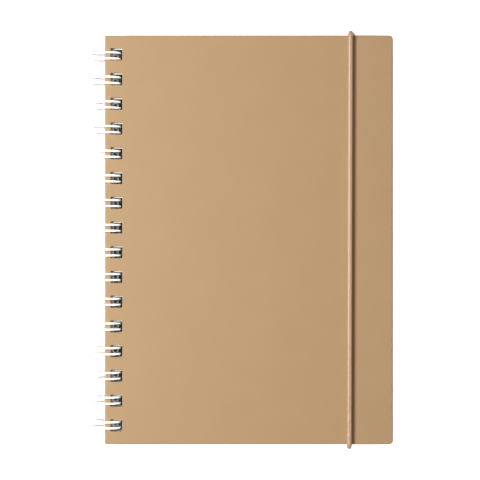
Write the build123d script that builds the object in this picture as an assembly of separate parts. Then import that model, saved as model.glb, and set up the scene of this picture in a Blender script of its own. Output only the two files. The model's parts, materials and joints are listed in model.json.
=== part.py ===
from build123d import *
import os
from math import asin, atan2, cos, degrees, hypot, radians, sin

# A5 hardback notebook: two wrapped boards and a block of blank leaves, punched down the spine edge and
# bound by one twin-loop wire, and held shut by a round elastic cord fixed to the back board.
# +X runs from the spine to the fore-edge, +Y from foot to head, +Z up from the surface it lies on.

# Boards
cover_width = 148.0
cover_height = 210.0
cover_thickness = 2.0
fore_corner_radius = 2.0
spine_corner_radius = 0.8
edge_rounding = 0.6  # the wrap turned over the arris of the board

# Leaves, flush with the boards at the spine edge and set back from their other three edges
leaf_margin = 2.5
block_thickness = 7.6

# Twin-loop wire
wire_diameter = 1.1
leg_spacing = 3.1  # between the two legs of a loop; the fingertip joins them in a half turn
base_corner_radius = 1.2  # from a leg into a base link
link_gap = 0.2  # between the base links and the back board
link_clearance = 0.3  # each side of the base links where the last leaves bow over them
spine_gap = 0.2  # from the ring's axis to the spine edge

# Punching, the same through boards and leaves: 2:1 twin-loop pitch, two holes to the inch
hole_pitch = 12.7
hole_width = 6.0  # across the spine edge
hole_corner_radius = 0.5
leg_clearance = 1.0  # between a leg and the head or foot side of its hole
ring_clearance = 0.9  # between the outside of the ring and the far side of the holes
end_margin = 3.5  # the least leaf left beyond the first and last holes

# Elastic cord
cord_diameter = 2.5
cord_gap = 0.1  # between the cord and the boards it goes round
cord_inset = 21.9  # from the fore-edge to the cord where it crosses the head edge
cord_drift = 0.6  # how far the cord drifts to the spine from head to foot
head_lean = 1.0  # how far the cord leans to the fore-edge as it goes round the head
foot_lean = 0.3
anchor_lean = 0.4  # the same from the board's edge to the cord's hole
anchor_distance = 11.0  # from the head or foot edge to the cord's hole
anchor_bend_inside = 0.35  # inside radius of the cord's bend into its hole

# Crimped metal barbs on the cord's ends, let into the inner face of the back board
barb_length = 10.0
barb_width = 2.4
barb_thickness = 0.8
barb_gap = 0.05  # all round a seated barb, and at the cord's end
collar_wall = 0.25
crimp_gap = 0.03
cord_hole_gap = 0.12  # round the collar in the board

# Heights, from the surface up
cord_radius = cord_diameter / 2
wire_radius = wire_diameter / 2
back_low = cord_diameter + cord_gap
block_low = back_low + cover_thickness
front_low = block_low + block_thickness
front_high = front_low + cover_thickness

# The ring's axis lies halfway up the stack, and its lowest point touches the same surface as the cord
ring_height = (back_low + front_high) / 2
ring_radius = ring_height - wire_radius
full_width = ring_height + spine_gap + cover_width
ring_x = ring_height - full_width / 2
spine_x = ring_x + spine_gap

# As many holes as the leaves have room for, round the legs of the loops
leaf_height = cover_height - 2 * leaf_margin
hole_height = leg_spacing + wire_diameter + 2 * leg_clearance
hole_x = ring_x + ring_height + ring_clearance - hole_width / 2
hole_count = 1 + int((leaf_height - 2 * end_margin - hole_height) // hole_pitch)
loop_places = [(index - (hole_count - 1) / 2) * hole_pitch for index in range(hole_count)]

# Angles round the ring, from +X towards +Z. The fingertips start level with the back board's outer face,
# once round the ring; the legs end where their corners bring the base links down to the board's inner face.
tip_angle = 360 - degrees(asin((ring_height - back_low) / ring_radius))
link_z = block_low + link_gap + wire_radius
link_reach = (link_z - ring_height) / hypot(ring_radius, base_corner_radius)
base_angle = degrees(asin(link_reach) + atan2(base_corner_radius, ring_radius))


# A point on the centre line of the ring, and the way the ring runs there
def ring_point(angle, y):
    angle = radians(angle)
    return Vector(ring_x + ring_radius * cos(angle), y, ring_height + ring_radius * sin(angle))


def ring_tangent(angle):
    return Vector(-sin(radians(angle)), 0, cos(radians(angle)))


# Every hole of the spine row, as prisms between two heights
def punch_row(low, high):
    outline = RectangleRounded(hole_width, hole_height, hole_corner_radius)
    prism = extrude(outline, high - low)
    return [Pos(hole_x, place, low) * prism for place in loop_places]


# A wrapped board with its row of holes: full corners at the spine, rounded ones at the fore-edge
def make_cover(low):
    outline = Pos(spine_x + cover_width / 2, 0) * Rectangle(cover_width, cover_height)
    outline = fillet(outline.vertices().sort_by(Axis.X)[-2:], fore_corner_radius)
    outline = fillet(outline.vertices().sort_by(Axis.X)[:2], spine_corner_radius)
    board = Pos(0, 0, low) * extrude(outline, cover_thickness)
    flat_faces = board.faces().sort_by(Axis.Z)
    board = fillet(flat_faces[0].edges() + flat_faces[-1].edges(), edge_rounding)
    return board - punch_row(low - 1, low + cover_thickness + 1)


# Where the cord crosses the two edges, where it goes through the back board, and how deep its barbs sit
cord_head_x = spine_x + cover_width - cord_inset
cord_foot_x = cord_head_x - cord_drift
anchor_y = cover_height / 2 - anchor_distance
head_anchor = (cord_head_x + head_lean + anchor_lean, anchor_y)
foot_anchor = (cord_foot_x + foot_lean + anchor_lean, -anchor_y)
collar_radius = cord_radius + crimp_gap + collar_wall
barb_low = block_low - barb_gap - barb_thickness
collar_low = back_low - cord_gap + anchor_bend_inside  # where the cord has turned into its hole


# The back board also has a hole for each end of the cord, and a shallow seat for its barb
def make_back_cover():
    board = make_cover(back_low)
    hole = Cylinder(collar_radius + cord_hole_gap, cover_thickness + 2)
    seat_outline = SlotOverall(barb_length + 2 * barb_gap, barb_width + 2 * barb_gap)
    seat = extrude(seat_outline, block_low + 1 - barb_low)
    for x, y in (head_anchor, foot_anchor):
        board -= Pos(x, y, back_low + cover_thickness / 2) * hole
        board -= Pos(x, y, barb_low) * seat
    return board


# The leaves as one closed block. Its last leaves bow over the wire's base links, so a shallow channel
# along the underside joins the holes.
link_x = ring_point(base_angle, 0).X + base_corner_radius * sin(radians(base_angle))


def make_page_block():
    width = cover_width - leaf_margin
    block = Box(width, leaf_height, block_thickness, align=(Align.MIN, Align.CENTER, Align.MIN))
    block = Pos(spine_x, 0, block_low) * block
    channel_high = link_z + wire_radius + link_clearance / 2
    channel = Box(
        wire_diameter + 2 * link_clearance,
        loop_places[-1] - loop_places[0],
        channel_high - block_low + 1,
        align=(Align.CENTER, Align.CENTER, Align.MAX),
    )
    block -= Pos(link_x, 0, channel_high) * channel
    return block - punch_row(block_low - 1, front_low + 1)


# The quarter turn from a leg's end to the base link; side is -1 towards the foot and +1 towards the head
def base_corner(place, side):
    start = ring_point(base_angle, place + side * leg_spacing / 2)
    down = ring_tangent(base_angle) * -base_corner_radius
    across = Vector(0, side * base_corner_radius, 0)
    middle = start + down * sin(radians(45)) + across * (1 - cos(radians(45)))
    return ThreePointArc(start, middle, start + down + across)


# One loop: up from its base corner, round the ring, back in a half turn at the fingertip and down again
def loop_edges(place):
    foot_side = place - leg_spacing / 2
    head_side = place + leg_spacing / 2
    middle_angle = (base_angle + tip_angle) / 2
    legs = [
        ThreePointArc(ring_point(base_angle, y), ring_point(middle_angle, y), ring_point(tip_angle, y))
        for y in (foot_side, head_side)
    ]
    tip_top = ring_point(tip_angle, place) + ring_tangent(tip_angle) * (leg_spacing / 2)
    fingertip = ThreePointArc(ring_point(tip_angle, foot_side), tip_top, ring_point(tip_angle, head_side))
    return [base_corner(place, -1), legs[0], fingertip, legs[1], base_corner(place, 1)]


# The whole binding is one length of wire: the loops and the straight links between their bases
def make_wire_binding():
    reach = leg_spacing / 2 + base_corner_radius
    edges = []
    for place in loop_places:
        if edges:
            link_start = Vector(link_x, place - hole_pitch + reach, link_z)
            edges.append(Line(link_start, Vector(link_x, place - reach, link_z)))
        edges += loop_edges(place)
    path = Wire([edge.edge() for edge in edges])
    start = Vector(link_x, loop_places[0] - reach, link_z)
    section = Plane(origin=start, z_dir=(0, 1, 0)) * Circle(wire_radius)
    return sweep(section, path=path)


# The cord's centre line: down from one barb, out under the board, round the head edge, over the front,
# round the foot edge and back up to the other barb
def make_elastic_cord():
    end_z = barb_low - barb_gap
    back_z = back_low - cord_gap - cord_radius
    front_z = front_high + cord_gap + cord_radius
    edge_y = cover_height / 2 + cord_gap + cord_radius
    arris_bend = edge_rounding + cord_gap + cord_radius
    anchor_bend = anchor_bend_inside + cord_radius
    route = [
        (*head_anchor, end_z),
        (*head_anchor, back_z),
        (cord_head_x + head_lean, edge_y, back_z),
        (cord_head_x, edge_y, front_z),
        (cord_foot_x, -edge_y, front_z),
        (cord_foot_x + foot_lean, -edge_y, back_z),
        (*foot_anchor, back_z),
        (*foot_anchor, end_z),
    ]
    bends = [anchor_bend, arris_bend, arris_bend, arris_bend, arris_bend, anchor_bend]
    path = FilletPolyline(*route, radius=bends)
    section = Plane(origin=route[0], z_dir=(0, 0, -1)) * Circle(cord_radius)
    return sweep(section, path=path)


# A flat metal bar with a collar crimped on the end of the cord
def make_barb(anchor):
    bar = extrude(SlotOverall(barb_length, barb_width), barb_thickness)
    collar_ring = Circle(collar_radius) - Circle(cord_radius + crimp_gap)
    collar = extrude(collar_ring, collar_low - barb_low)
    return Pos(*anchor, barb_low) * (bar + collar)


nodes = {
    "front_cover": make_cover(front_low),
    "back_cover": make_back_cover(),
    "page_block": make_page_block(),
    "wire_binding": make_wire_binding(),
    "elastic_cord": make_elastic_cord(),
    "upper_cord_barb": make_barb(head_anchor),
    "lower_cord_barb": make_barb(foot_anchor),
}

os.makedirs("parts", exist_ok=True)
for name, shape in nodes.items():
    export_step(shape, f"parts/{name}.step")
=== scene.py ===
import json
import math

import bmesh
import bpy
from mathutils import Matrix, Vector
from mathutils.geometry import delaunay_2d_cdt

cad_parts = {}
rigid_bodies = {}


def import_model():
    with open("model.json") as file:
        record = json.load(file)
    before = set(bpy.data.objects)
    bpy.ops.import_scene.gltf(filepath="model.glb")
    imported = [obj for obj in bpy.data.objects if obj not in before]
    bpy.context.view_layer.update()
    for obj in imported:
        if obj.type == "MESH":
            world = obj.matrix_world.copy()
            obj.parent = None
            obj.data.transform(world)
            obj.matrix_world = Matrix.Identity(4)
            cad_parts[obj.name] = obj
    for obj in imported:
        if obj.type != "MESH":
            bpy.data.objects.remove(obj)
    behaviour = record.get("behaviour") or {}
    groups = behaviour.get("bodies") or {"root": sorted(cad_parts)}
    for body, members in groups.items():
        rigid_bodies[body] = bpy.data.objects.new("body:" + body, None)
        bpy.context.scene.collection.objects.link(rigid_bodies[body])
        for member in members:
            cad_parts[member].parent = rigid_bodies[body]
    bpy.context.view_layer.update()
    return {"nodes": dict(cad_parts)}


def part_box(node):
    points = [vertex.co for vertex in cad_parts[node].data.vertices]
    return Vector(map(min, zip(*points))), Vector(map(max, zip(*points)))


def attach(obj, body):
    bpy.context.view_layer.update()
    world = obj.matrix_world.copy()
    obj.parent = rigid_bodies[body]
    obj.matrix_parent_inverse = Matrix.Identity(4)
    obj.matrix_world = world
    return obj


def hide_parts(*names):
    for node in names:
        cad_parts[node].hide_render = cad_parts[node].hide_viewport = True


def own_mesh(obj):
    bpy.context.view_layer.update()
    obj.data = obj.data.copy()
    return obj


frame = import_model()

# A closed A5 hardback notebook in kraft wrap: two boards, a stack of blank leaves, one white twin-loop wire
# down the spine edge and a round elastic. Everything is in metres; mm(1) is one millimetre.


def mm(value):
    return value / 1000


# Stage: a camera straight overhead, one soft light halfway up on the spine side and a weaker one above

stage = {
    "cameraPlace": (mm(-0.2), mm(-0.1)),
    "cameraHeight": mm(1050),  # above the front board
    "viewWidth": mm(246.4),  # what the camera sees across, at the front board
    "clipStart": mm(10),
    "sensor": 36.0,
    "keyPlace": (-0.74, 0.06, 0.82),
    "keySize": (0.4, 0.4),
    "keyPower": 17.8,
    "keyColour": "fafeff",
    "topPlace": (-0.1, 0.1, 1.5),
    "topSize": (1.2, 1.2),
    "topPower": 3.8,
    "topColour": "fff8f2",
    "airColour": "fff3ec",
    "airStrength": 0.13,
    "floorSize": 5.0,
    "floorColour": "ededed",
    "floorGlow": 0.9,  # the table is lit from behind
    "floorRoughness": 0.9,
    # painted shade: how far and how strongly the ambient occlusion mask darkens the table round the object
    "floorPaintedShadeReach": mm(30),  # how far from the object its own shade dims that light
    "floorPaintedShadeRange": (0.10, 0.30),  # share of open air where the table is quite dark, and quite bright
    "floorPaintedShadeSamples": 16,
}


def linear(hexColour):
    channels = [int(hexColour[i : i + 2], 16) / 255 for i in (0, 2, 4)]
    return [c / 12.92 if c <= 0.04045 else ((c + 0.055) / 1.055) ** 2.4 for c in channels] + [1.0]


# Adds a node: inputs holds values, or the sockets that feed them, and settings are the node's own properties
def addNode(tree, kind, inputs=None, **settings):
    node = tree.nodes.new(kind)
    for name, value in settings.items():
        setattr(node, name, value)
    for name, value in (inputs or {}).items():
        if isinstance(value, bpy.types.NodeSocket):
            tree.links.new(value, node.inputs[name])
        else:
            node.inputs[name].default_value = value
    return node


def rescale(tree, value, low, high, toLow=0.0, toHigh=1.0):
    inputs = {"Value": value, "From Min": low, "From Max": high, "To Min": toLow, "To Max": toHigh}
    return addNode(tree, "ShaderNodeMapRange", inputs).outputs["Result"]


def calculate(tree, operation, first, second=0.0):
    return addNode(tree, "ShaderNodeMath", {0: first, 1: second}, operation=operation).outputs[0]


# Inputs 6 and 7 and output 2 of a mix node are its colours
def mixColours(tree, factor, first, second):
    return addNode(tree, "ShaderNodeMix", {0: factor, 6: first, 7: second}, data_type="RGBA").outputs[2]


def makeCamera():
    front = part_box("front_cover")[1]
    data = bpy.data.cameras.new("overheadCamera")
    data.sensor_width = stage["sensor"]
    data.lens = stage["sensor"] * stage["cameraHeight"] / stage["viewWidth"]
    data.clip_start = stage["clipStart"]
    camera = bpy.data.objects.new("overheadCamera", data)
    camera.location = (*stage["cameraPlace"], front.z + stage["cameraHeight"])
    bpy.context.scene.collection.objects.link(camera)
    bpy.context.scene.camera = camera


def makeLight(name, place, size, power, colour):
    data = bpy.data.lights.new(name, "AREA")
    data.shape = "RECTANGLE"
    data.size, data.size_y = size
    data.energy = power
    data.color = linear(colour)[:3]
    light = bpy.data.objects.new(name, data)
    light.location = place
    light.rotation_euler = (-Vector(place)).to_track_quat("-Z", "Y").to_euler()
    bpy.context.scene.collection.objects.link(light)
    return light


def makeWorld():
    world = bpy.data.worlds.new("studioAir")
    world.use_nodes = True
    background = world.node_tree.nodes["Background"]
    background.inputs["Color"].default_value = linear(stage["airColour"])
    background.inputs["Strength"].default_value = stage["airStrength"]
    bpy.context.scene.world = world
    bpy.context.scene.view_settings.view_transform = "Standard"


# A white light table with painted shade: an ambient occlusion mask blackens its colour and dims its glow
# where the object covers it and close beside it
def makeFloor():
    material = bpy.data.materials.new("whiteLightTable")
    material.use_nodes = True
    tree = material.node_tree
    shader = tree.nodes["Principled BSDF"]
    reach = {"Distance": stage["floorPaintedShadeReach"]}
    sky = addNode(tree, "ShaderNodeAmbientOcclusion", reach, samples=stage["floorPaintedShadeSamples"])
    paintedShadeMask = rescale(tree, sky.outputs["AO"], *stage["floorPaintedShadeRange"])
    # painted shade: the mask mixes the table's colour towards black and scales its glow down
    surface = mixColours(tree, paintedShadeMask, (0, 0, 0, 1), linear(stage["floorColour"]))
    glow = calculate(tree, "MULTIPLY", paintedShadeMask, stage["floorGlow"])
    tree.links.new(surface, shader.inputs["Base Color"])
    tree.links.new(glow, shader.inputs["Emission Strength"])
    shader.inputs["Emission Color"].default_value = (1, 1, 1, 1)
    shader.inputs["Roughness"].default_value = stage["floorRoughness"]
    half = stage["floorSize"] / 2
    corners = [(-half, -half, 0), (half, -half, 0), (half, half, 0), (-half, half, 0)]
    mesh = bpy.data.meshes.new("lightTable")
    mesh.from_pydata(corners, [], [(0, 1, 2, 3)])
    mesh.materials.append(material)
    floor = bpy.data.objects.new("lightTable", mesh)
    bpy.context.scene.collection.objects.link(floor)
    floor.visible_diffuse = False  # the table is bright to look at but throws no light back


makeCamera()
makeLight("spineSideLight", stage["keyPlace"], stage["keySize"], stage["keyPower"], stage["keyColour"])
makeLight("overheadLight", stage["topPlace"], stage["topSize"], stage["topPower"], stage["topColour"])
makeWorld()
makeFloor()
print("stage ready")


# Materials

# An empty material: its tree, its shader and each point's place on the object in metres
def newMaterial(name):
    material = bpy.data.materials.new(name)
    material.use_nodes = True
    tree = material.node_tree
    place = addNode(tree, "ShaderNodeTexCoord").outputs["Object"]
    return material, tree, tree.nodes["Principled BSDF"], place


noiseSpread = (0.3, 0.7)  # nearly all of a noise lies between these


# Noise with features of about one size; a place that a mapping has already scaled has the size 1
def addNoise(tree, place, size, detail):
    inputs = {"Vector": place, "Scale": 1 / size, "Detail": detail}
    return addNode(tree, "ShaderNodeTexNoise", inputs).outputs["Fac"]


# Noise drawn out along one direction in the plane of a sheet, as paper fibres lie
def fibreNoise(tree, place, length, width, turn):
    turned = addNode(tree, "ShaderNodeMapping", {"Vector": place, "Rotation": (0, 0, turn)})
    scale = (1 / length, 1 / width, 1 / width)
    drawn = addNode(tree, "ShaderNodeMapping", {"Vector": turned.outputs[0], "Scale": scale})
    return addNoise(tree, drawn.outputs[0], size=1.0, detail=2.0)


def addBump(tree, shader, height, distance, strength):
    bump = addNode(tree, "ShaderNodeBump", {"Height": height, "Distance": distance, "Strength": strength})
    tree.links.new(bump.outputs["Normal"], shader.inputs["Normal"])


kraft = {
    "colour": "a98861",
    "pale": "ab8a63",
    "fibreColour": "9c7a54",
    "shiveColour": "7a5b39",
    "cloud": mm(16),  # size of the soft cloudiness of the sheet
    "fibreLength": mm(1.8),
    "fibreWidth": mm(0.18),
    "fibreDepth": mm(0.01),
    "fibreTurns": (0.25, 1.4, 2.5),  # the ways the fibres lie, in radians
    "fibreStarts": 1.5,  # what the three fibre noises add up to where a fibre begins to show
    "fibreFull": 1.15,
    "fibreShow": 0.22,
    "matSpread": (1.1, 1.9),  # nearly all of that sum lies between these
    "shiveSpacing": mm(3.2),
    "shiveStarts": 0.06,  # from a shive's middle to where it begins to show, as a share of the spacing
    "shiveFull": 0.03,
    "shiveShow": 0.25,
    "roughness": (0.48, 0.60),
    "bump": 0.4,
}


# Unbleached kraft paper, machine glazed and pasted round the board: an even tan with very soft clouds, fine
# crossing fibres, a rare darker shive, and a dull sheen
def makeKraft():
    material, tree, shader, place = newMaterial("machineGlazedKraft")
    cloudy = rescale(tree, addNoise(tree, place, kraft["cloud"], detail=3.0), *noiseSpread)
    colour = mixColours(tree, cloudy, linear(kraft["colour"]), linear(kraft["pale"]))
    length, width = kraft["fibreLength"], kraft["fibreWidth"]
    fibres = [fibreNoise(tree, place, length, width, turn) for turn in kraft["fibreTurns"]]
    mat = calculate(tree, "ADD", calculate(tree, "ADD", fibres[0], fibres[1]), fibres[2])
    shown = rescale(tree, mat, kraft["fibreStarts"], kraft["fibreFull"], 0.0, kraft["fibreShow"])
    colour = mixColours(tree, shown, colour, linear(kraft["fibreColour"]))
    shives = addNode(tree, "ShaderNodeTexVoronoi", {"Vector": place, "Scale": 1 / kraft["shiveSpacing"]})
    starts, full = kraft["shiveStarts"], kraft["shiveFull"]
    rare = rescale(tree, shives.outputs["Distance"], starts, full, 0.0, kraft["shiveShow"])
    colour = mixColours(tree, rare, colour, linear(kraft["shiveColour"]))
    tree.links.new(colour, shader.inputs["Base Color"])
    rough = rescale(tree, mat, *kraft["matSpread"], *kraft["roughness"])
    tree.links.new(rough, shader.inputs["Roughness"])
    addBump(tree, shader, rescale(tree, mat, *kraft["matSpread"]), kraft["fibreDepth"], kraft["bump"])
    return material


greyBoard = {
    "colour": "5f574e",
    "dark": "413b34",
    "layer": mm(0.25),
    "flock": mm(0.7),
    "spread": (0.35, 0.65),
    "depth": mm(0.03),
    "roughness": 0.95,
    "bump": 0.7,
}


# Grey board where the punch cut through it: dull recycled fibre in thin layers
def makeGreyBoard():
    material, tree, shader, place = newMaterial("punchedGreyBoard")
    scale = (1 / greyBoard["flock"], 1 / greyBoard["flock"], 1 / greyBoard["layer"])
    layered = addNode(tree, "ShaderNodeMapping", {"Vector": place, "Scale": scale})
    flock = addNoise(tree, layered.outputs[0], size=1.0, detail=4.0)
    mottled = rescale(tree, flock, *greyBoard["spread"])
    colour = mixColours(tree, mottled, linear(greyBoard["dark"]), linear(greyBoard["colour"]))
    tree.links.new(colour, shader.inputs["Base Color"])
    shader.inputs["Roughness"].default_value = greyBoard["roughness"]
    addBump(tree, shader, flock, greyBoard["depth"], greyBoard["bump"])
    return material


lining = {
    "colour": "a3835f",
    "pale": "ae8e6a",
    "fibreColour": "8f6f4c",
    "cloud": mm(9),
    "fibreTurn": 0.9,
    "fibreStarts": 0.5,
    "fibreFull": 0.3,
    "fibreShow": 0.35,
    "fibreDepth": mm(0.015),
    "roughness": 0.85,
    "bump": 0.6,
}


# Plain kraft lining paper inside the boards: the same stock unglazed, so paler, cloudier and quite dull
def makeLining():
    material, tree, shader, place = newMaterial("unglazedKraftLining")
    cloudy = rescale(tree, addNoise(tree, place, lining["cloud"], detail=5.0), *noiseSpread)
    colour = mixColours(tree, cloudy, linear(lining["colour"]), linear(lining["pale"]))
    fibre = fibreNoise(tree, place, kraft["fibreLength"], kraft["fibreWidth"], lining["fibreTurn"])
    shown = rescale(tree, fibre, lining["fibreStarts"], lining["fibreFull"], 0.0, lining["fibreShow"])
    colour = mixColours(tree, shown, colour, linear(lining["fibreColour"]))
    tree.links.new(colour, shader.inputs["Base Color"])
    shader.inputs["Roughness"].default_value = lining["roughness"]
    addBump(tree, shader, fibre, lining["fibreDepth"], lining["bump"])
    return material


paper = {
    "colour": "dedad0",
    "shade": "d5d0c4",
    "cloud": mm(5),
    "spread": (0.3, 0.75),
    "tooth": mm(0.3),
    "toothDepth": mm(0.01),
    "roughness": 0.9,
    "bump": 0.5,
}


# Uncoated book paper, warm white, with a faint cloudy formation and a soft tooth
def makePaper():
    material, tree, shader, place = newMaterial("uncoatedBookPaper")
    cloudy = rescale(tree, addNoise(tree, place, paper["cloud"], detail=6.0), *paper["spread"])
    colour = mixColours(tree, cloudy, linear(paper["shade"]), linear(paper["colour"]))
    tree.links.new(colour, shader.inputs["Base Color"])
    tooth = addNoise(tree, place, paper["tooth"], detail=3.0)
    shader.inputs["Roughness"].default_value = paper["roughness"]
    addBump(tree, shader, tooth, paper["toothDepth"], paper["bump"])
    return material


coating = {
    "colour": "f4f4f2",
    "peel": mm(0.6),
    "peelDepth": mm(0.006),
    "roughness": (0.3, 0.4),
    "ior": 1.53,
    "gloss": 0.3,
    "glossRoughness": 0.15,
    "bump": 0.5,
}


# Steel wire in a baked white nylon coat: smooth and softly glossy, with a trace of orange peel
def makeCoating():
    material, tree, shader, place = newMaterial("nylonCoatedSteel")
    peel = addNoise(tree, place, coating["peel"], detail=1.0)
    tree.links.new(rescale(tree, peel, *noiseSpread, *coating["roughness"]), shader.inputs["Roughness"])
    shader.inputs["Base Color"].default_value = linear(coating["colour"])
    shader.inputs["IOR"].default_value = coating["ior"]
    shader.inputs["Coat Weight"].default_value = coating["gloss"]
    shader.inputs["Coat Roughness"].default_value = coating["glossRoughness"]
    addBump(tree, shader, peel, coating["peelDepth"], coating["bump"])
    return material


steel = {
    "colour": "c2c1ba",
    "brush": mm(0.15),
    "brushLength": mm(3),
    "brushDepth": mm(0.008),
    "roughness": (0.3, 0.48),
    "bump": 0.4,
}


# Zinc-plated steel strip, stamped and lightly brushed along its length
def makeSteel():
    material, tree, shader, place = newMaterial("zincPlatedSteel")
    scale = (1 / steel["brushLength"], 1 / steel["brush"], 1 / steel["brush"])
    lines = addNode(tree, "ShaderNodeMapping", {"Vector": place, "Scale": scale})
    brushed = addNoise(tree, lines.outputs[0], size=1.0, detail=2.0)
    tree.links.new(rescale(tree, brushed, *noiseSpread, *steel["roughness"]), shader.inputs["Roughness"])
    shader.inputs["Base Color"].default_value = linear(steel["colour"])
    shader.inputs["Metallic"].default_value = 1.0
    addBump(tree, shader, brushed, steel["brushDepth"], steel["bump"])
    return material


braid = {
    "colour": "b2906d",
    # painted shade: the colour the sheath takes in the gaps between strands and between filaments
    "shade": "94735a",
    "strands": 8,  # each way round the sheath
    "pick": mm(1.4),  # along the cord from one strand to the next
    "relief": mm(0.035),
    "filaments": 6,  # yarn filaments drawn in each strand, coarser than real so that they show
    "filamentDepth": mm(0.012),
    "crown": 0.7,  # power that rounds a strand across its width
    "crossing": 0.3,  # how gently one strand passes over the other
    # painted shade between two filaments, as a share of full brightness
    "yarnShade": 0.8,  # brightness between two filaments
    "paintedShadeSpread": (0.1, 0.8),
    "roughness": 0.38,
    "sheen": 0.35,
    "sheenRoughness": 0.4,
    "bump": 0.6,
}


# Where each point lies in the weave. Strands run both ways round the cord; the result is how high a point
# stands, from 0 to 1, and the two strand phases. It serves the mesh and the material alike.
def weave(tree, turn, along):
    across = calculate(tree, "MULTIPLY", turn, braid["strands"] / 2)
    onward = calculate(tree, "MULTIPLY", along, math.pi / braid["pick"])
    phases = [calculate(tree, "ADD", across, onward), calculate(tree, "SUBTRACT", across, onward)]
    waves = [calculate(tree, "SINE", phase) for phase in phases]
    crowns = [calculate(tree, "POWER", calculate(tree, "ABSOLUTE", wave), braid["crown"]) for wave in waves]
    over = rescale(tree, calculate(tree, "MULTIPLY", *waves), -braid["crossing"], braid["crossing"])
    first = calculate(tree, "MULTIPLY", crowns[0], over)
    second = calculate(tree, "MULTIPLY", crowns[1], calculate(tree, "SUBTRACT", 1.0, over))
    return calculate(tree, "ADD", first, second), over, phases


# Braided polyester sheath over rubber: tan strands that cross over and under, with fine filaments along
# each one, painted shade that darkens the gaps between strands and between filaments, and the soft sheen of a
# fibre
def makeBraid():
    material, tree, shader, _ = newMaterial("braidedPolyesterSheath")
    around = addNode(tree, "ShaderNodeAttribute", attribute_name="roundCord")
    axes = addNode(tree, "ShaderNodeSeparateXYZ", {0: around.outputs["Vector"]})
    turn = calculate(tree, "ARCTAN2", axes.outputs[1], axes.outputs[0])
    along = addNode(tree, "ShaderNodeAttribute", attribute_name="alongCord").outputs["Fac"]
    height, over, phases = weave(tree, turn, along)
    filaments = []
    for phase in phases:
        ridges = calculate(tree, "SINE", calculate(tree, "MULTIPLY", phase, braid["filaments"]))
        filaments.append(calculate(tree, "ABSOLUTE", ridges))
    top = calculate(tree, "MULTIPLY", filaments[0], over)
    under = calculate(tree, "MULTIPLY", filaments[1], calculate(tree, "SUBTRACT", 1.0, over))
    yarn = calculate(tree, "ADD", top, under)
    # painted shade: low points of the weave and the lines between filaments take the darker shade colour
    paintedShadeFactor = calculate(tree, "MULTIPLY", height, rescale(tree, yarn, 0.0, 1.0, braid["yarnShade"], 1.0))
    lit = rescale(tree, paintedShadeFactor, *braid["paintedShadeSpread"])
    colour = mixColours(tree, lit, linear(braid["shade"]), linear(braid["colour"]))
    tree.links.new(colour, shader.inputs["Base Color"])
    shader.inputs["Roughness"].default_value = braid["roughness"]
    shader.inputs["Sheen Weight"].default_value = braid["sheen"]
    shader.inputs["Sheen Roughness"].default_value = braid["sheenRoughness"]
    addBump(tree, shader, yarn, braid["filamentDepth"], braid["bump"])
    return material


materials = {
    "kraft": makeKraft(),
    "greyBoard": makeGreyBoard(),
    "lining": makeLining(),
    "paper": makePaper(),
    "coating": makeCoating(),
    "steel": makeSteel(),
    "braid": makeBraid(),
}
print("materials ready:", len(materials))


# The spine row: loops, holes and ring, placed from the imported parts

spineRow = {
    "pitch": mm(12.7),
    "holeWidth": mm(6.0),
    "holeHeight": mm(6.2),
    "holeRadius": mm(0.5),
    "ringClearance": mm(0.9),  # from the outside of the ring to the far side of the holes
    "wireRadius": mm(0.55),
}
wireLow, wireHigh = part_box("wire_binding")
ringOuter = (wireHigh.z - wireLow.z) / 2
ringX = wireLow.x + ringOuter
ringZ = (wireLow.z + wireHigh.z) / 2
holeX = ringX + ringOuter + spineRow["ringClearance"] - spineRow["holeWidth"] / 2
loopCount = round((wireHigh.y - wireLow.y) / spineRow["pitch"] + 0.5)
loopPlaces = [(i - (loopCount - 1) / 2) * spineRow["pitch"] for i in range(loopCount)]


# Points round a rectangle with rounded corners, counter-clockwise from the foot of the spine side
def roundedOutline(low, high, radii, steps):
    corners = [(low.x, low.y, 1, 1), (high.x, low.y, -1, 1), (high.x, high.y, -1, -1), (low.x, high.y, 1, -1)]
    points = []
    for index, ((x, y, sideX, sideY), radius) in enumerate(zip(corners, radii)):
        for step in range(steps + 1):
            angle = math.pi + (index + step / steps) * math.pi / 2
            centre = Vector((x + sideX * radius, y + sideY * radius))
            points.append(centre + radius * Vector((math.cos(angle), math.sin(angle))))
    return points


def holeOutline(place, grow=0.0, steps=4):
    half = Vector((spineRow["holeWidth"] / 2 + grow, spineRow["holeHeight"] / 2 + grow))
    centre = Vector((holeX, place))
    return roundedOutline(centre - half, centre + half, [spineRow["holeRadius"] + grow] * 4, steps)


def loopAt(bm, outline, z):
    return [bm.verts.new((p.x, p.y, z)) for p in outline]


def joinLoops(bm, first, second, slot=0):
    for i in range(len(first)):
        j = (i + 1) % len(first)
        bm.faces.new((first[i], first[j], second[j], second[i])).material_index = slot


# A wall through several levels, each a size, a height and the material of the band above it
def stackLoops(bm, levels, outlineAt):
    loops = [loopAt(bm, outlineAt(size), z) for size, z, _ in levels]
    for first, second, level in zip(loops, loops[1:], levels[1:]):
        joinLoops(bm, first, second, level[2])
    return loops[0], loops[-1]


# Whether a point lies inside a loop, seen from above
def isInside(point, loop):
    inside = False
    for i in range(len(loop)):
        a, b = loop[i - 1].co, loop[i].co
        if (a.y > point.y) != (b.y > point.y) and point.x < a.x + (b.x - a.x) * (point.y - a.y) / (b.y - a.y):
            inside = not inside
    return inside


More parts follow.
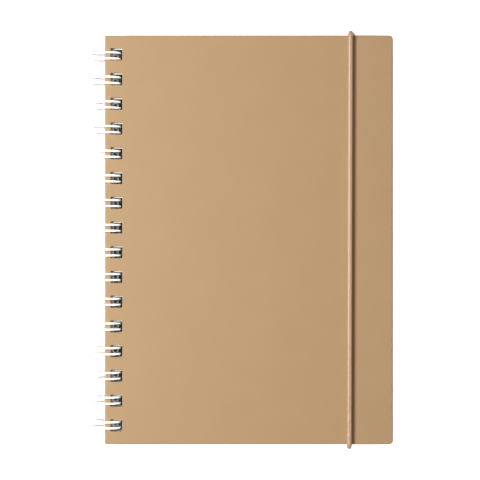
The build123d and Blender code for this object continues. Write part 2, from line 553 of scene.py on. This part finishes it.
# Fills the flat face inside one loop and round the others, through extra points where the face is shaped
def fillFace(bm, outer, holes=(), slot=0, extra=()):
    nearest = 1e-8  # points closer than this are taken as one
    loops = [outer, *holes]
    verts = [v for loop in loops for v in loop] + [bm.verts.new(p) for p in extra]
    edges, start = [], 0
    for loop in loops:
        edges += [(start + i, start + (i + 1) % len(loop)) for i in range(len(loop))]
        start += len(loop)
    _, _, triangles, sources, _, _ = delaunay_2d_cdt([v.co.xy for v in verts], edges, [], 1, nearest)
    for triangle in triangles:
        corners = [verts[sources[i][0]] for i in triangle]
        centre = (corners[0].co + corners[1].co + corners[2].co) / 3
        if not any(isInside(centre, hole) for hole in holes):
            bm.faces.new(corners).material_index = slot


def meshPiece(name, bm, slots, sharpAngle=40):
    bmesh.ops.recalc_face_normals(bm, faces=bm.faces)
    mesh = bpy.data.meshes.new(name)
    bm.to_mesh(mesh)
    bm.free()
    for material in slots:
        mesh.materials.append(material)
    mesh.shade_smooth()
    mesh.set_sharp_from_angle(angle=math.radians(sharpAngle))
    piece = bpy.data.objects.new(name, mesh)
    bpy.context.scene.collection.objects.link(piece)
    return piece


def finishPiece(piece, body, node):
    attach(piece, body)
    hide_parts(node)
    print(piece.name, "ready:", len(piece.data.polygons), "faces")


# Boards

board = {
    "foreRadius": mm(2.0),
    "spineRadius": mm(0.8),
    "edgeRound": mm(0.6),
    "arrisSteps": 6,
    "cornerSteps": 10,
    "flatRim": mm(0.15),  # flat kept beside a rounded edge, so the broad face stays flat in the light
    "wrap": mm(0.16),  # thickness of the paper that the punch shows on each side
    "lip": mm(0.12),  # the wrap drawn down at the rim of a hole
    "lipShoulder": 0.3,  # where the lip is roundest, as a share of it
    "liningStep": mm(0.09),  # the lining stands this proud of the turned-in wrap
    "liningMargin": mm(3.5),
    "liningSpineMargin": mm(1.4),
    "liningRadius": mm(0.4),
    "liningEdge": mm(0.03),  # its cut edge leans in by this much
    "liningEdgeHeight": mm(0.02),
    "foldStart": mm(1.3),  # from a fore-edge corner to the crease that its folded wrap leaves
    "foldLength": mm(3.0),
    "foldDepth": mm(0.08),
    "foldWidth": mm(0.3),
    "foldGrid": mm(0.22),
    "foldSkip": 4,  # grid steps left out beside the rounded edge
    "mitreDepth": mm(0.06),
    "mitreWidth": mm(0.12),
    "mitreFrom": mm(0.45),  # from the rounded edge to where the seam starts
    "mitreEnd": mm(0.2),  # and from its far end to the lining
    "mitreStep": mm(0.3),
}

seat = {  # the holes for the cord's ends, and the seats of its barbs, in the back board
    "length": mm(10.1),
    "width": mm(2.5),
    "floor": mm(0.85),  # below the board's inner face
    "holeRadius": mm(1.65),
    "steps": 8,
}


# The crease left in the wrap by the fold beneath it, along the diagonal of a fore-edge corner
def foldCreases(low, high, outerZ, side):
    points = []
    count = int((board["foldStart"] + board["foldLength"]) / board["foldGrid"])
    for cornerY, toMiddle in ((low.y, 1), (high.y, -1)):
        for i in range(board["foldSkip"], count):
            for j in range(board["foldSkip"], count):
                inX, inY = i * board["foldGrid"], j * board["foldGrid"]
                along = (inX + inY) / math.sqrt(2) - board["foldStart"]
                across = (inX - inY) / math.sqrt(2)
                dent = 0.0
                if 0 < along < board["foldLength"]:
                    swell = math.sin(math.pi * along / board["foldLength"])
                    dent = swell * math.exp(-((across / board["foldWidth"]) ** 2))
                z = outerZ - side * board["foldDepth"] * dent
                points.append((high.x - inX, cornerY + toMiddle * inY, z))
    return points


# The mitre seams between the turned-in flaps of the wrap, at each corner of the inner face
def mitreSeams(low, high, turnedZ, side):
    points = []
    for x, toX, margin in ((low.x, 1, board["liningSpineMargin"]), (high.x, -1, board["liningMargin"])):
        for y, toY in ((low.y, 1), (high.y, -1)):
            inset = board["edgeRound"] + board["mitreFrom"]
            while inset < margin - board["mitreEnd"]:
                for shift, depth in ((-1, 0), (0, 1), (1, 0)):
                    move = shift * board["mitreWidth"]
                    z = turnedZ + side * depth * board["mitreDepth"]
                    points.append((x + toX * (inset + move), y + toY * (inset - move), z))
                inset += board["mitreStep"]
    return points


# A cord hole and barb seat: the rims on the inner and outer faces
def cutSeat(bm, centre, innerZ, outerZ, side):
    steps, half = seat["steps"], seat["width"] / 2
    meet = math.asin(half / seat["holeRadius"])
    capX = (seat["length"] - seat["width"]) / 2

    def arc(radius, start, end, shiftX=0.0):
        angles = [start + (end - start) * i / steps for i in range(steps + 1)]
        return [centre + Vector((shiftX + radius * math.cos(a), radius * math.sin(a))) for a in angles]

    radius = seat["holeRadius"]
    quarter = math.pi / 2
    rightCap = arc(half, -quarter, quarter, capX)
    leftCap = arc(half, quarter, 3 * quarter, -capX)
    headArc = arc(radius, meet, math.pi - meet)
    footArc = arc(radius, math.pi + meet, 2 * math.pi - meet)
    keyhole = rightCap + headArc + leftCap + footArc
    floorZ = innerZ + side * seat["floor"]
    innerRim = loopAt(bm, keyhole, innerZ)
    floorRim = loopAt(bm, keyhole, floorZ)
    joinLoops(bm, innerRim, floorRim, 1)
    n = steps + 1
    right, head, left, foot = (floorRim[i * n : (i + 1) * n] for i in range(4))
    leftArc = loopAt(bm, arc(radius, math.pi - meet, math.pi + meet)[1:-1], floorZ)
    rightArc = loopAt(bm, arc(radius, -meet, meet)[1:-1], floorZ)
    bm.faces.new([foot[-1], *right, head[0], *reversed(rightArc)]).material_index = 1
    bm.faces.new([head[-1], *left, foot[0], *reversed(leftArc)]).material_index = 1
    holeRim = [*head, *leftArc, *foot, *rightArc]
    lip = board["lip"]
    shoulder = lip * board["lipShoulder"]
    for grow, drop in ((0.0, lip), (shoulder, shoulder), (lip, 0.0), (lip + board["flatRim"], 0.0)):
        circle = [centre + (Vector(v.co.xy) - centre).normalized() * (radius + grow) for v in holeRim]
        below = loopAt(bm, circle, outerZ - side * drop)
        joinLoops(bm, holeRim, below, 1 if drop == lip else 0)
        holeRim = below
    return innerRim, holeRim


# One wrapped board. side is 1 where its outer face is on top and -1 where it is underneath.
def makeBoard(name, node, body, side, cordEnds=()):
    low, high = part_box(node)
    outerZ, innerZ = (high.z, low.z) if side > 0 else (low.z, high.z)
    turnedZ = innerZ + side * board["liningStep"]
    edge, rim, steps = board["edgeRound"], board["flatRim"], board["arrisSteps"]
    radii = [board["spineRadius"], board["foreRadius"], board["foreRadius"], board["spineRadius"]]

    def outline(inset):
        shift = Vector((inset, inset))
        insetRadii = [radius - inset for radius in radii]
        return roundedOutline(low.xy + shift, high.xy - shift, insetRadii, board["cornerSteps"])

    turns = [math.pi / 2 * step / steps for step in range(steps + 1)]
    levels = [(edge + rim, outerZ, 0)]
    levels += [(edge * (1 - math.sin(a)), outerZ - side * edge * (1 - math.cos(a)), 0) for a in turns]
    levels += [(edge * (1 - math.cos(a)), turnedZ + side * edge * (1 - math.sin(a)), 0) for a in turns]
    levels += [(edge + rim, turnedZ, 0)]
    bm = bmesh.new()
    outerRim, turnedRim = stackLoops(bm, levels, outline)

    def liningOutline(inset):
        foot = Vector((low.x + board["liningSpineMargin"], low.y + board["liningMargin"]))
        head = Vector((high.x - board["liningMargin"], high.y - board["liningMargin"]))
        shift = Vector((inset, inset))
        insetRadii = [board["liningRadius"] - inset] * 4
        return roundedOutline(foot + shift, head - shift, insetRadii, board["cornerSteps"])

    edgeZ = innerZ + side * board["liningEdgeHeight"]
    levels = [(0.0, turnedZ, 0), (0.0, edgeZ, 2), (board["liningEdge"], innerZ, 2), (rim, innerZ, 2)]
    liningFoot, liningRim = stackLoops(bm, levels, liningOutline)
    fillFace(bm, turnedRim, [liningFoot], 0, mitreSeams(low, high, turnedZ, side))

    lip, wrap = board["lip"], board["wrap"]
    shoulder = lip * board["lipShoulder"]
    levels = [
        (lip + rim, outerZ, 0),
        (lip, outerZ, 0),
        (shoulder, outerZ - side * shoulder, 0),
        (0.0, outerZ - side * lip, 0),
        (0.0, outerZ - side * (lip + wrap), 0),
        (0.0, innerZ + side * wrap, 1),
        (0.0, innerZ + side * lip / 2, 2),
        (lip / 2, innerZ, 2),
        (lip / 2 + rim, innerZ, 2),
    ]
    rims = [stackLoops(bm, levels, lambda grow: holeOutline(place, grow)) for place in loopPlaces]
    seats = [cutSeat(bm, Vector(end), innerZ, outerZ, side) for end in cordEnds]
    outerHoles = [outer for outer, _ in rims] + [outer for _, outer in seats]
    innerHoles = [inner for _, inner in rims] + [inner for inner, _ in seats]
    fillFace(bm, outerRim, outerHoles, 0, foldCreases(low, high, outerZ, side))
    fillFace(bm, liningRim, innerHoles, 2)
    piece = meshPiece(name, bm, [materials["kraft"], materials["greyBoard"], materials["lining"]])
    finishPiece(piece, body, node)


def middle(node):
    low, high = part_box(node)
    return ((low + high) / 2).xy


cordEnds = [middle("upper_cord_barb"), middle("lower_cord_barb")]
makeBoard("front_board", "front_cover", "front", 1)
makeBoard("back_board", "back_cover", "back", -1, cordEnds)


# A Geometry Nodes tree: its named inputs with their values, and the group's own input and output nodes
def newTree(name, values):
    tree = bpy.data.node_groups.new(name, "GeometryNodeTree")
    kinds = {int: "Int", float: "Float", bpy.types.Object: "Object", bpy.types.Material: "Material"}
    for label, value in values.items():
        tree.interface.new_socket(label, in_out="INPUT", socket_type="NodeSocket" + kinds[type(value)])
    tree.interface.new_socket("Geometry", in_out="OUTPUT", socket_type="NodeSocketGeometry")
    return tree, tree.nodes.new("NodeGroupInput").outputs


def readAttribute(tree, name, kind="FLOAT"):
    return addNode(tree, "GeometryNodeInputNamedAttribute", {"Name": name}, data_type=kind).outputs[0]


def storeAttribute(tree, geometry, name, value, kind="FLOAT"):
    inputs = {"Geometry": geometry, "Name": name, "Value": value}
    return addNode(tree, "GeometryNodeStoreNamedAttribute", inputs, data_type=kind).outputs[0]


# Ends a tree, gives it to a new piece with its values set, and turns the result into a plain mesh
def growPiece(name, tree, values, geometry, material):
    realized = addNode(tree, "GeometryNodeRealizeInstances", {"Geometry": geometry})
    inputs = {"Geometry": realized.outputs[0], "Material": material}
    finished = addNode(tree, "GeometryNodeSetMaterial", inputs)
    addNode(tree, "NodeGroupOutput", {"Geometry": finished.outputs[0]})
    piece = bpy.data.objects.new(name, bpy.data.meshes.new(name + "Start"))
    bpy.context.scene.collection.objects.link(piece)
    modifier = piece.modifiers.new(name, "NODES")
    modifier.node_group = tree
    for socket in tree.interface.items_tree:
        if socket.in_out == "INPUT":
            modifier[socket.identifier] = values[socket.name]
    bpy.context.view_layer.update()
    graph = bpy.context.evaluated_depsgraph_get()
    mesh = bpy.data.meshes.new_from_object(piece.evaluated_get(graph), depsgraph=graph)
    piece.modifiers.remove(modifier)
    piece.data = mesh
    mesh.name = name
    return piece


def looseObject(name, data):
    pattern = bpy.data.objects.new(name, data)
    bpy.context.scene.collection.objects.link(pattern)
    return pattern


# Leaves: one plain sheet and one relieved over the wire's base links, repeated up the stack

leaves = {
    "count": 75,
    "gap": mm(0.014),  # air between two sheets
    "stray": mm(0.12),  # how far a sheet lies out of true
    "turn": 0.0006,  # and how far it is turned, in radians
    "slide": (mm(1.5), mm(-0.6)),  # how far the top sheet has slid on the wire; the lowest hardly moves
    "cornerRadius": mm(0.4),
    "reliefHeight": mm(1.45),  # the links' channel, from the bottom of the stack
    "reliefLow": mm(6.45),  # the channel's two sides, from the ring's axis
    "reliefHigh": mm(8.15),
    "seed": 11,
}
stackLow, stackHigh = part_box("page_block")
leafPitch = (stackHigh.z - stackLow.z) / leaves["count"]


# One sheet at the origin's height, with the outlines of what is punched from it
def makeSheet(name, holes):
    bm = bmesh.new()
    outline = roundedOutline(stackLow.xy, stackHigh.xy, [leaves["cornerRadius"]] * 4, steps=3)
    bottom = [loopAt(bm, points, 0) for points in [outline, *holes]]
    top = [loopAt(bm, points, leafPitch - leaves["gap"]) for points in [outline, *holes]]
    for first, second in zip(bottom, top):
        joinLoops(bm, first, second)
    fillFace(bm, bottom[0], bottom[1:])
    fillFace(bm, top[0], top[1:])
    bmesh.ops.recalc_face_normals(bm, faces=bm.faces)
    mesh = bpy.data.meshes.new(name)
    bm.to_mesh(mesh)
    bm.free()
    return looseObject(name, mesh)


# The holes of a relieved sheet, joined into one comb by the channel
def combOutline():
    halfWidth, halfHeight = spineRow["holeWidth"] / 2, spineRow["holeHeight"] / 2
    foreSide = (holeX + halfWidth, ringX + leaves["reliefHigh"], loopPlaces, 1)
    spineSide = (holeX - halfWidth, ringX + leaves["reliefLow"], loopPlaces[::-1], -1)
    points = []
    for toothX, channelX, places, up in (foreSide, spineSide):
        for place in places:
            if place != places[0]:
                points.append(Vector((channelX, place - up * halfHeight)))
            points.append(Vector((toothX, place - up * halfHeight)))
            points.append(Vector((toothX, place + up * halfHeight)))
            if place != places[-1]:
                points.append(Vector((channelX, place + up * halfHeight)))
    return points


def makeLeaves():
    plain = makeSheet("plainSheet", [holeOutline(place, steps=2) for place in loopPlaces])
    relieved = makeSheet("relievedSheet", [combOutline()])
    values = {
        "Plain Sheet": plain,
        "Relieved Sheet": relieved,
        "Count": leaves["count"],
        "Relieved Count": math.ceil(leaves["reliefHeight"] / leafPitch),
        "Pitch": leafPitch,
        "First Height": stackLow.z,
        "Stray": leaves["stray"],
        "Turn": leaves["turn"],
        "Slide X": leaves["slide"][0],
        "Slide Y": leaves["slide"][1],
        "Seed": leaves["seed"],
        "Paper": materials["paper"],
    }
    tree, given = newTree("leafStack", values)
    start = addNode(tree, "ShaderNodeCombineXYZ", {"Z": given["First Height"]})
    offset = addNode(tree, "ShaderNodeCombineXYZ", {"Z": given["Pitch"]})
    inputs = {"Count": given["Count"], "Start Location": start.outputs[0], "Offset": offset.outputs[0]}
    column = addNode(tree, "GeometryNodeMeshLine", inputs, mode="OFFSET")
    back = calculate(tree, "MULTIPLY", given["Stray"], -1.0)
    low = addNode(tree, "ShaderNodeCombineXYZ", {"X": back, "Y": back})
    high = addNode(tree, "ShaderNodeCombineXYZ", {"X": given["Stray"], "Y": given["Stray"]})
    inputs = {0: low.outputs[0], 1: high.outputs[0], "Seed": given["Seed"]}
    stray = addNode(tree, "FunctionNodeRandomValue", inputs, data_type="FLOAT_VECTOR")
    index = addNode(tree, "GeometryNodeInputIndex").outputs[0]
    share = calculate(tree, "POWER", calculate(tree, "DIVIDE", index, given["Count"]), 2.0)
    slid = {axis: calculate(tree, "MULTIPLY", share, given["Slide " + axis]) for axis in "XY"}
    moved = {0: stray.outputs[0], 1: addNode(tree, "ShaderNodeCombineXYZ", slid).outputs[0]}
    moved = addNode(tree, "ShaderNodeVectorMath", moved, operation="ADD").outputs[0]
    inputs = {"Geometry": column.outputs[0], "Offset": moved}
    column = addNode(tree, "GeometryNodeSetPosition", inputs)
    unturn = calculate(tree, "MULTIPLY", given["Turn"], -1.0)
    inputs = {2: unturn, 3: given["Turn"], "Seed": given["Seed"]}
    turn = addNode(tree, "FunctionNodeRandomValue", inputs, data_type="FLOAT").outputs[1]
    rotation = addNode(tree, "ShaderNodeCombineXYZ", {"Z": turn}).outputs[0]
    inputs = {2: index, 3: given["Relieved Count"]}
    isLow = addNode(tree, "FunctionNodeCompare", inputs, data_type="INT", operation="LESS_THAN").outputs[0]
    isHigh = addNode(tree, "FunctionNodeBooleanMath", {0: isLow}, operation="NOT").outputs[0]
    joined = addNode(tree, "GeometryNodeJoinGeometry")
    for sheet, chosen in (("Relieved Sheet", isLow), ("Plain Sheet", isHigh)):
        source = addNode(tree, "GeometryNodeObjectInfo", {"Object": given[sheet]})
        inputs = {
            "Points": column.outputs[0],
            "Selection": chosen,
            "Instance": source.outputs["Geometry"],
            "Rotation": rotation,
        }
        instances = addNode(tree, "GeometryNodeInstanceOnPoints", inputs)
        tree.links.new(instances.outputs[0], joined.inputs[0])
    piece = growPiece("leaf_stack", tree, values, joined.outputs[0], given["Paper"])
    for pattern in (plain, relieved):
        bpy.data.objects.remove(pattern)
    finishPiece(piece, "leaves_and_wire", "page_block")


makeLeaves()


# Wire: one loop's centre line, repeated down the spine and joined into a single length

wire = {
    "legSpacing": mm(3.1),
    "baseRadius": mm(1.2),  # from a leg into a base link
    "linkHeight": mm(5.35),
    "fingertipHeight": mm(2.6),  # where the half turn of a fingertip starts
    "degreesPerStep": 6,
    "endLean": mm(0.4),  # the first and last loops lean to the middle on the spine side
    "drift": mm(0.55),  # how far the head-end loop has slid to the foot in its hole; the foot end's has not
    "stray": mm(0.06),  # how far any loop leans besides
    "sides": 12,
    "cornerSteps": 6,
    "tipSteps": 10,
    "seed": 5,
}


# The centre line of one loop about y = 0: from its foot-side base corner, up and round the ring, back in
# a half turn at the fingertip, and down to its head-side base corner
def loopLine():
    radius = ringOuter - spineRow["wireRadius"]
    half = wire["legSpacing"] / 2
    bend = wire["baseRadius"]
    reach = (wire["linkHeight"] - ringZ) / math.hypot(radius, bend)
    base = math.asin(reach) + math.atan2(bend, radius)
    tip = 2 * math.pi - math.asin((ringZ - wire["fingertipHeight"]) / radius)

    def onRing(angle, y):
        return Vector((ringX + radius * math.cos(angle), y, ringZ + radius * math.sin(angle)))

    def tangent(angle):
        return Vector((-math.sin(angle), 0, math.cos(angle)))

    def corner(side):
        steps = [math.pi / 2 * (1 - i / wire["cornerSteps"]) for i in range(wire["cornerSteps"])]
        across = Vector((0, side * bend, 0))
        root = onRing(base, side * half)
        return [root - tangent(base) * bend * math.sin(a) + across * (1 - math.cos(a)) for a in steps]

    count = round(math.degrees(tip - base) / wire["degreesPerStep"])
    leg = [base + (tip - base) * i / count for i in range(count + 1)]
    turns = [math.pi * i / wire["tipSteps"] for i in range(1, wire["tipSteps"])]
    fingertip = [onRing(tip, -half * math.cos(a)) + tangent(tip) * half * math.sin(a) for a in turns]
    line = corner(-1) + [onRing(a, -half) for a in leg] + fingertip
    return line + [onRing(a, half) for a in reversed(leg)] + corner(1)[::-1]


def makeWire():
    points = loopLine()
    mesh = bpy.data.meshes.new("loopLine")
    mesh.from_pydata(points, [(i, i + 1) for i in range(len(points) - 1)], [])
    line = looseObject("loopLine", mesh)
    values = {
        "Loop": line,
        "Count": loopCount,
        "Pitch": spineRow["pitch"],
        "Wire Radius": spineRow["wireRadius"],
        "Sides": wire["sides"],
        "End Lean": wire["endLean"],
        "Drift": wire["drift"],
        "Stray": wire["stray"],
        "Lean From": holeX,
        "Lean To": wireLow.x,
        "Seed": wire["seed"],
        "Coating": materials["coating"],
    }
    tree, given = newTree("twinLoopWire", values)
    last = calculate(tree, "SUBTRACT", given["Count"], 1.0)
    firstY = calculate(tree, "MULTIPLY", calculate(tree, "MULTIPLY", last, given["Pitch"]), -0.5)
    start = addNode(tree, "ShaderNodeCombineXYZ", {"Y": firstY})
    offset = addNode(tree, "ShaderNodeCombineXYZ", {"Y": given["Pitch"]})
    inputs = {"Count": given["Count"], "Start Location": start.outputs[0], "Offset": offset.outputs[0]}
    row = addNode(tree, "GeometryNodeMeshLine", inputs, mode="OFFSET").outputs[0]
    index = addNode(tree, "GeometryNodeInputIndex").outputs[0]
    share = calculate(tree, "POWER", calculate(tree, "DIVIDE", index, last), 2.0)
    drift = calculate(tree, "MULTIPLY", calculate(tree, "MULTIPLY", share, given["Drift"]), -1.0)
    drift = addNode(tree, "ShaderNodeCombineXYZ", {"Y": drift}).outputs[0]
    row = addNode(tree, "GeometryNodeSetPosition", {"Geometry": row, "Offset": drift}).outputs[0]
    isFirst = calculate(tree, "LESS_THAN", index, 0.5)
    isLast = calculate(tree, "GREATER_THAN", index, calculate(tree, "SUBTRACT", last, 0.5))
    ends = calculate(tree, "MULTIPLY", calculate(tree, "SUBTRACT", isFirst, isLast), given["End Lean"])
    back = calculate(tree, "MULTIPLY", given["Stray"], -1.0)
    inputs = {2: back, 3: given["Stray"], "Seed": given["Seed"]}
    stray = addNode(tree, "FunctionNodeRandomValue", inputs, data_type="FLOAT").outputs[1]
    lean = calculate(tree, "ADD", ends, stray)
    row = storeAttribute(tree, row, "lean", lean)
    source = addNode(tree, "GeometryNodeObjectInfo", {"Object": given["Loop"]})
    inputs = {"Points": row, "Instance": source.outputs["Geometry"]}
    loops = addNode(tree, "GeometryNodeInstanceOnPoints", inputs).outputs[0]
    loops = addNode(tree, "GeometryNodeRealizeInstances", {"Geometry": loops}).outputs[0]
    place = addNode(tree, "ShaderNodeSeparateXYZ", {0: addNode(tree, "GeometryNodeInputPosition").outputs[0]})
    share = rescale(tree, place.outputs["X"], given["Lean From"], given["Lean To"])
    shift = calculate(tree, "MULTIPLY", share, readAttribute(tree, "lean"))
    shift = addNode(tree, "ShaderNodeCombineXYZ", {"Y": shift})
    inputs = {"Geometry": loops, "Offset": shift.outputs[0]}
    loops = addNode(tree, "GeometryNodeSetPosition", inputs).outputs[0]
    dots = addNode(tree, "GeometryNodeMeshToPoints", {"Mesh": loops}).outputs[0]
    curve = addNode(tree, "GeometryNodePointsToCurves", {"Points": dots}).outputs[0]
    inputs = {"Resolution": given["Sides"], "Radius": given["Wire Radius"]}
    section = addNode(tree, "GeometryNodeCurvePrimitiveCircle", inputs).outputs[0]
    inputs = {"Curve": curve, "Profile Curve": section, "Fill Caps": True}
    tube = addNode(tree, "GeometryNodeCurveToMesh", inputs).outputs[0]
    tube = addNode(tree, "GeometryNodeSetShadeSmooth", {"Geometry": tube}).outputs[0]
    piece = growPiece("wire_loops", tree, values, tube, given["Coating"])
    bpy.data.objects.remove(line)
    finishPiece(piece, "leaves_and_wire", "wire_binding")


makeWire()


# Elastic: a tight round cord from one barb, under the board, over the front and back to the other barb

cord = {
    "radius": mm(1.25),
    "gap": mm(0.1),  # between the cord and the boards
    "headX": mm(56.4),  # where it crosses the head edge, and the foot edge
    "footX": mm(55.8),
    "headLean": mm(2.2),  # how far it leans to the fore-edge as it goes round the head, and the foot
    "footLean": mm(0.9),
    "edgeEase": mm(4.4),  # how far from an edge the cord leaves its straight run
    "endEase": mm(2.0),
    "endHeight": mm(3.7),
    "smoothness": 24,
    "sides": 48,
    "ringSpacing": mm(0.24),
    "keep": 0.18,  # share of its height left once the back cover is folded open
}


# The smooth route, held straight by a point on each side of every corner it turns
def makeRoute():
    backBoard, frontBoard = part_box("back_cover"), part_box("front_cover")
    off = cord["radius"] + cord["gap"]
    backZ = backBoard[0].z - off
    frontZ = frontBoard[1].z + off
    edgeY = frontBoard[1].y + off
    (headEndX, headEndY), (footEndX, footEndY) = cordEnds
    corners = [
        (headEndX, headEndY, cord["endHeight"]),
        (headEndX, headEndY, backZ),
        (cord["headX"] + cord["headLean"], edgeY, backZ),
        (cord["headX"], edgeY, frontZ),
        (cord["footX"], -edgeY, frontZ),
        (cord["footX"] + cord["footLean"], -edgeY, backZ),
        (footEndX, footEndY, backZ),
        (footEndX, footEndY, cord["endHeight"]),
    ]
    corners = [Vector(corner) for corner in corners]
    eases = [cord["endEase"], *[cord["edgeEase"]] * 4, cord["endEase"]]
    points = [corners[0]]
    for before, corner, after, ease in zip(corners, corners[1:], corners[2:], eases):
        points += [corner.lerp(before, ease / (before - corner).length), corner]
        points.append(corner.lerp(after, ease / (after - corner).length))
    points.append(corners[-1])
    curve = bpy.data.curves.new("cordRoute", "CURVE")
    curve.dimensions = "3D"
    curve.resolution_u = cord["smoothness"]
    spline = curve.splines.new("NURBS")
    spline.points.add(len(points) - 1)
    for point, place in zip(spline.points, points):
        point.co = (*place, 1)
    spline.order_u = 3
    spline.use_endpoint_u = True
    return looseObject("cordRoute", curve)


def makeElastic():
    route = makeRoute()
    values = {
        "Route": route,
        "Ring Spacing": cord["ringSpacing"],
        "Sides": cord["sides"],
        "Cord Radius": cord["radius"],
        "Relief": braid["relief"],
        "Sheath": materials["braid"],
    }
    tree, given = newTree("braidedCord", values)
    source = addNode(tree, "GeometryNodeObjectInfo", {"Object": given["Route"]}).outputs["Geometry"]
    inputs = {"Curve": source, "Length": given["Ring Spacing"]}
    line = addNode(tree, "GeometryNodeResampleCurve", inputs, mode="LENGTH").outputs[0]
    length = addNode(tree, "GeometryNodeSplineParameter").outputs["Length"]
    line = storeAttribute(tree, line, "alongCord", length)
    inputs = {"Resolution": given["Sides"], "Radius": given["Cord Radius"]}
    section = addNode(tree, "GeometryNodeCurvePrimitiveCircle", inputs).outputs[0]
    spot = addNode(tree, "GeometryNodeInputPosition").outputs[0]
    direction = addNode(tree, "ShaderNodeVectorMath", {0: spot}, operation="NORMALIZE").outputs[0]
    section = storeAttribute(tree, section, "roundCord", direction, "FLOAT_VECTOR")
    inputs = {"Curve": line, "Profile Curve": section, "Fill Caps": True}
    tube = addNode(tree, "GeometryNodeCurveToMesh", inputs).outputs[0]
    axes = addNode(tree, "ShaderNodeSeparateXYZ", {0: readAttribute(tree, "roundCord", "FLOAT_VECTOR")})
    turn = calculate(tree, "ARCTAN2", axes.outputs[1], axes.outputs[0])
    height = weave(tree, turn, readAttribute(tree, "alongCord"))[0]
    rise = calculate(tree, "MULTIPLY", calculate(tree, "SUBTRACT", height, 1.0), given["Relief"])
    normal = addNode(tree, "GeometryNodeInputNormal").outputs[0]
    offset = addNode(tree, "ShaderNodeVectorMath", {0: normal, "Scale": rise}, operation="SCALE").outputs[0]
    tube = addNode(tree, "GeometryNodeSetPosition", {"Geometry": tube, "Offset": offset}).outputs[0]
    tube = addNode(tree, "GeometryNodeSetShadeSmooth", {"Geometry": tube}).outputs[0]
    piece = growPiece("elastic_braid", tree, values, tube, given["Sheath"])
    bpy.data.objects.remove(route)
    finishPiece(piece, "back", "elastic_cord")
    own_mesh(piece)


makeElastic()


# Fill lights that reach one piece only: the glow of the table and a white card for the wire, which lies
# partly in its holes, and a card on the fore-edge side for the elastic
fills = [
    {"piece": "wire_loops", "place": (-0.07, 0.0, -0.35), "size": (1.6, 1.6), "power": 9.0, "shadow": False},
    {"piece": "wire_loops", "place": (0.45, 0.0, 1.0), "size": (0.5, 0.5), "power": 16.0, "shadow": True},
    {"piece": "elastic_braid", "place": (0.80, 0.0, 0.6), "size": (0.5, 0.5), "power": 4.0, "shadow": False},
]
for number, fill in enumerate(fills):
    light = makeLight(f"pieceFill{number}", fill["place"], fill["size"], fill["power"], stage["keyColour"])
    light.data.use_shadow = fill["shadow"]
    lit = bpy.data.collections.new(f"litPiece{number}")
    lit.objects.link(bpy.data.objects[fill["piece"]])
    light.light_linking.receiver_collection = lit
print("fills ready")

for barb in ("upper_cord_barb", "lower_cord_barb"):
    for materialSlot in frame["nodes"][barb].material_slots:
        materialSlot.material = materials["steel"]
print("barbs plated")
